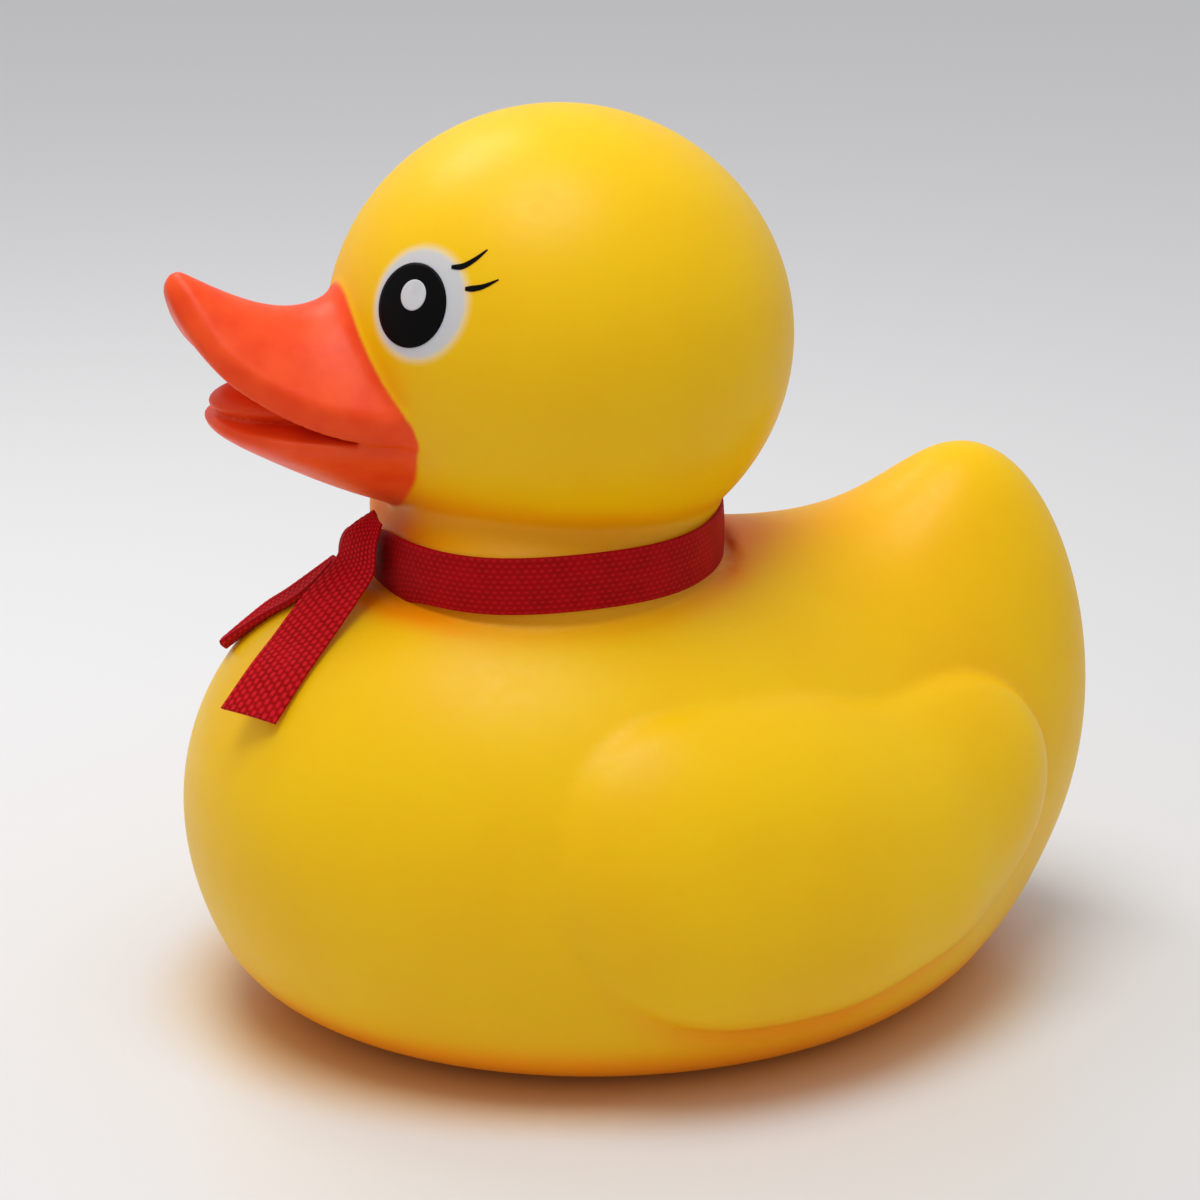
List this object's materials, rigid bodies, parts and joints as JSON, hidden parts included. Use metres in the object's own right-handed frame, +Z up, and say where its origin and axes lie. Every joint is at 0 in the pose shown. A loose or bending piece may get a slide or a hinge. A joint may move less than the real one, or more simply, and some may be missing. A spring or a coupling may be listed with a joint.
{
  "type": "rubber duck",
  "caption": "Hollow yellow vinyl bath duck with an open orange bill, printed eyes, moulded wings and a red ribbon tied round its neck.",
  "frame": {"origin": "on the surface the duck stands on, under the middle of its bounding box", "axes": "+Z up, the bill points along -Y, the duck's left wing is on +X"},
  "size_m": [0.0832, 0.1012, 0.0949],
  "materials": {
    "yellow_vinyl": "satin soft vinyl",
    "milky_plastic": "plain moulded",
    "reed_brass": "plain",
    "red_ribbon": "woven, matte"
  },
  "bodies": {
    "root": {"duck": "yellow_vinyl", "squeaker": "milky_plastic", "squeaker_reed": "reed_brass", "neck_ribbon": "red_ribbon"}
  },
  "joints": []
}
